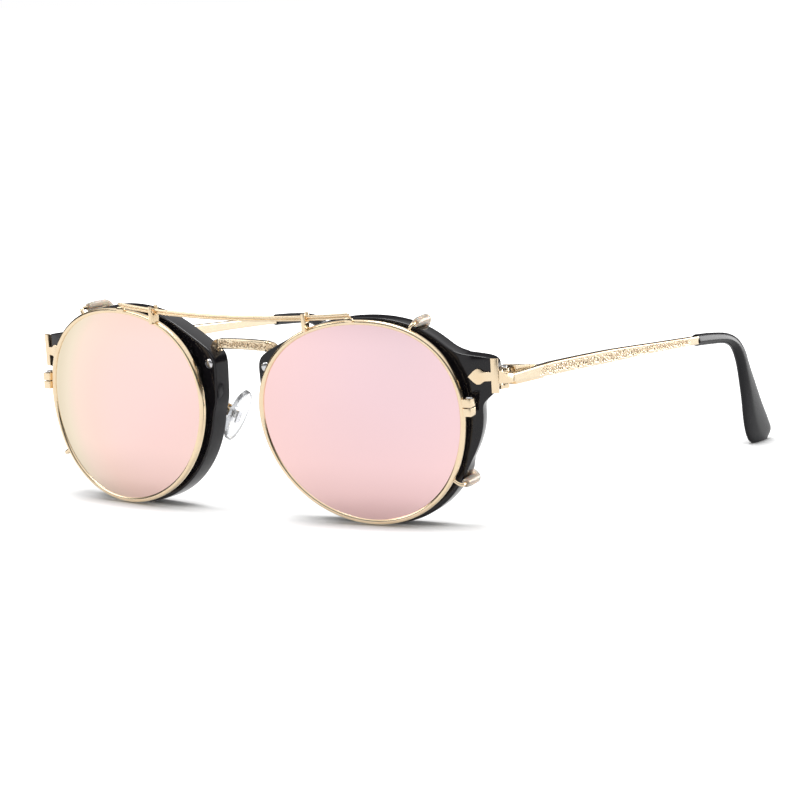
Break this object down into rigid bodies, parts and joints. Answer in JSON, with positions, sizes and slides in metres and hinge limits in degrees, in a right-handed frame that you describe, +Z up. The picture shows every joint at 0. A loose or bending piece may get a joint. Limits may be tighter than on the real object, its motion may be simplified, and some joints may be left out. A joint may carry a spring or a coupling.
{
  "type": "round sunglasses with a hook-on mirror clip",
  "caption": "Round glasses with a black front, engraved metal bridge and sprung temples, and a lift-off clip of mirror lenses on four sleeved hooks.",
  "frame": {"origin": "on the ground under the middle of the open glasses", "axes": "+X to the wearer's left, +Y from the front back along the temples, +Z up"},
  "size_m": [0.136, 0.1549, 0.0508],
  "materials": {
    "black_plastic": "polished black",
    "black_tip": "satin black",
    "gold": "polished pale gold plating",
    "steel": "polished",
    "mirror_lens": "rose mirror coating",
    "clear_lens": "clear",
    "pad_silicone": "clear silicone",
    "sleeve": "milky sleeve"
  },
  "bodies": {
    "front": {"rim_right": "black_plastic", "rim_left": "black_plastic", "bridge_rivet_right": "steel", "bridge_rivet_left": "steel", "clear_lens_right": "clear_lens", "clear_lens_left": "clear_lens", "pad_arm_right": "gold", "pad_arm_left": "gold", "pad_screw_right": "steel", "pad_screw_left": "steel", "corner_plaque_right": "gold", "corner_plaque_left": "gold", "plaque_rivets_right": "gold", "plaque_rivets_left": "gold", "hinge_leaf_right": "gold", "hinge_leaf_left": "gold", "hinge_screw_right": "steel", "hinge_screw_left": "steel", "bridge": "gold"},
    "nose_pad_right": {"nose_pad_right": "pad_silicone"},
    "nose_pad_left": {"nose_pad_left": "pad_silicone"},
    "sled_right": {"hinge_sled_right": "steel", "hinge_spring_right": "steel"},
    "temple_right": {"temple_right": "gold", "spring_box_right": "gold", "temple_tip_right": "black_tip"},
    "sled_left": {"hinge_sled_left": "steel", "hinge_spring_left": "steel"},
    "temple_left": {"temple_left": "gold", "spring_box_left": "gold", "temple_tip_left": "black_tip"},
    "clip": {"clip_rim_right": "gold", "clip_rim_left": "gold", "mirror_lens_right": "mirror_lens", "mirror_lens_left": "mirror_lens", "brow_post_right": "gold", "brow_post_left": "gold", "clip_block_right": "gold", "clip_block_left": "gold", "block_screw_right": "steel", "block_screw_left": "steel", "upper_hook_right": "gold", "upper_hook_left": "gold", "lower_hook_right": "gold", "lower_hook_left": "gold", "upper_sleeve_right": "sleeve", "upper_sleeve_left": "sleeve", "lower_sleeve_right": "sleeve", "lower_sleeve_left": "sleeve", "brow_bar": "gold"}
  },
  "joints": [
    {"name": "temple_fold_right", "type": "hinge", "parent": "front", "child": "sled_right", "pos_m": [-0.0642, -0.05597, 0.03447], "axis": [0, 0, -1], "range_deg": [0, 84]},
    {"name": "spring_pull_right", "type": "slide", "parent": "sled_right", "child": "temple_right", "axis": [0, 1, 0], "range_m": [0, 0.0012], "stiffness_N_per_m": 600, "springref_m": -0.0005, "deforming": ["hinge_spring_right"]},
    {"name": "pad_rock_right", "type": "hinge", "parent": "front", "child": "nose_pad_right", "pos_m": [-0.0104, -0.06291, 0.02361], "axis": [-0.0349, 0.9994, 0], "range_deg": [-10, 10]},
    {"name": "temple_fold_left", "type": "hinge", "parent": "front", "child": "sled_left", "pos_m": [0.0642, -0.05597, 0.03447], "axis": [0, 0, 1], "range_deg": [0, 90]},
    {"name": "spring_pull_left", "type": "slide", "parent": "sled_left", "child": "temple_left", "axis": [0, 1, 0], "range_m": [0, 0.0012], "stiffness_N_per_m": 600, "springref_m": -0.0005, "deforming": ["hinge_spring_left"]},
    {"name": "pad_rock_left", "type": "hinge", "parent": "front", "child": "nose_pad_left", "pos_m": [0.0104, -0.06291, 0.02361], "axis": [0.0349, 0.9994, 0], "range_deg": [-10, 10]},
    {"name": "clip_release", "type": "slide", "parent": "front", "child": "clip", "axis": [0, -1, 0], "range_m": [0, 0.04], "deforming": ["upper_hook_right", "upper_hook_left", "lower_hook_right", "lower_hook_left", "upper_sleeve_right", "upper_sleeve_left", "lower_sleeve_right", "lower_sleeve_left"]}
  ]
}
